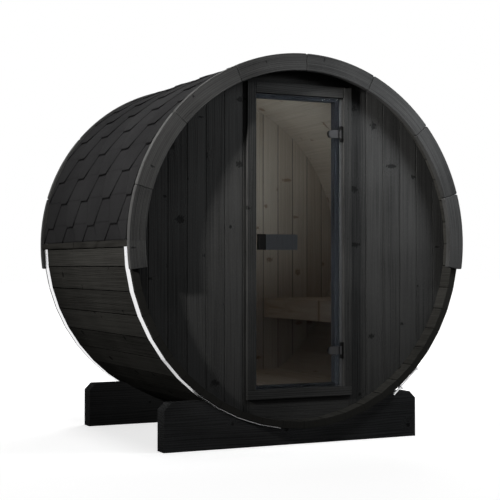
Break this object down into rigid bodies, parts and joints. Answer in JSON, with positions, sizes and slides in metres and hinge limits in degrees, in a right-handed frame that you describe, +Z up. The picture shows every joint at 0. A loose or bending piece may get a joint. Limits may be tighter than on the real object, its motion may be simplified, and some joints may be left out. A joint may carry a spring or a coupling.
{
  "type": "barrel sauna",
  "caption": "Small outdoor barrel sauna: horizontal stave barrel on timber cradles, shingled upper half, recessed boarded front with a hinged smoked glass door, curved fascia rings.",
  "frame": {"origin": "ground level, at the middle of the footprint", "axes": "+X to the right as seen from the door, +Y back along the barrel away from the door, +Z up"},
  "size_m": [2.024, 1.556, 2.1101],
  "materials": {
    "stave_wood": "black wood stain over open grain, satin",
    "front_wood": "black wood stain over open grain, satin",
    "trim_wood": "black wood stain over planed boards, satin",
    "cradle_wood": "black wood stain over sawn timber, matt",
    "room_wood": "bare planed softwood",
    "roof_felt": "bitumen shingle faced with dark mineral granules",
    "band_steel": "bright rolled strip",
    "hinge_steel": "satin",
    "hinge_black": "black powder coat",
    "door_glass": "smoked tempered glass, polished edges"
  },
  "bodies": {
    "sauna": {"back_wall": "stave_wood", "band_front": "band_steel", "band_rear": "band_steel", "barrel_staves_01": "stave_wood", "barrel_staves_02": "stave_wood", "barrel_staves_03": "stave_wood", "barrel_staves_04": "stave_wood", "barrel_staves_05": "stave_wood", "barrel_staves_06": "stave_wood", "barrel_staves_07": "stave_wood", "barrel_staves_08": "stave_wood", "barrel_staves_09": "stave_wood", "barrel_staves_10": "stave_wood", "barrel_staves_11": "stave_wood", "barrel_staves_12": "stave_wood", "bench_apron": "room_wood", "bench_seat": "room_wood", "cradle_front": "cradle_wood", "cradle_rear": "cradle_wood", "door_casing_head": "trim_wood", "door_casing_left": "trim_wood", "door_casing_right": "trim_wood", "door_casing_sill": "trim_wood", "door_head": "trim_wood", "door_jamb_left": "trim_wood", "door_jamb_right": "trim_wood", "door_sill": "trim_wood", "eave_batten_left": "trim_wood", "eave_batten_right": "trim_wood", "fascia_front_left": "trim_wood", "fascia_front_right": "trim_wood", "fascia_rear_left": "trim_wood", "fascia_rear_right": "trim_wood", "floor": "room_wood", "front_wall_left": "front_wood", "front_wall_over_door": "front_wood", "front_wall_right": "front_wood", "front_wall_under_door": "front_wood", "hinge_leaf_lower": "hinge_black", "hinge_leaf_upper": "hinge_black", "roof_ridge_cap": "roof_felt", "roof_shingles_left": "roof_felt", "roof_shingles_right": "roof_felt", "tension_bolt_front": "band_steel", "tension_bolt_rear": "band_steel"},
    "door": {"door_glass": "door_glass", "door_handle_inner": "room_wood", "door_handle_outer": "trim_wood", "hinge_clamp_lower": "hinge_steel", "hinge_clamp_upper": "hinge_steel"}
  },
  "joints": [
    {"name": "door_hinge", "type": "hinge", "parent": "sauna", "child": "door", "pos_m": [0.271, -0.668, 0], "axis": [0, 0, 1], "range_deg": [0, 110]}
  ]
}
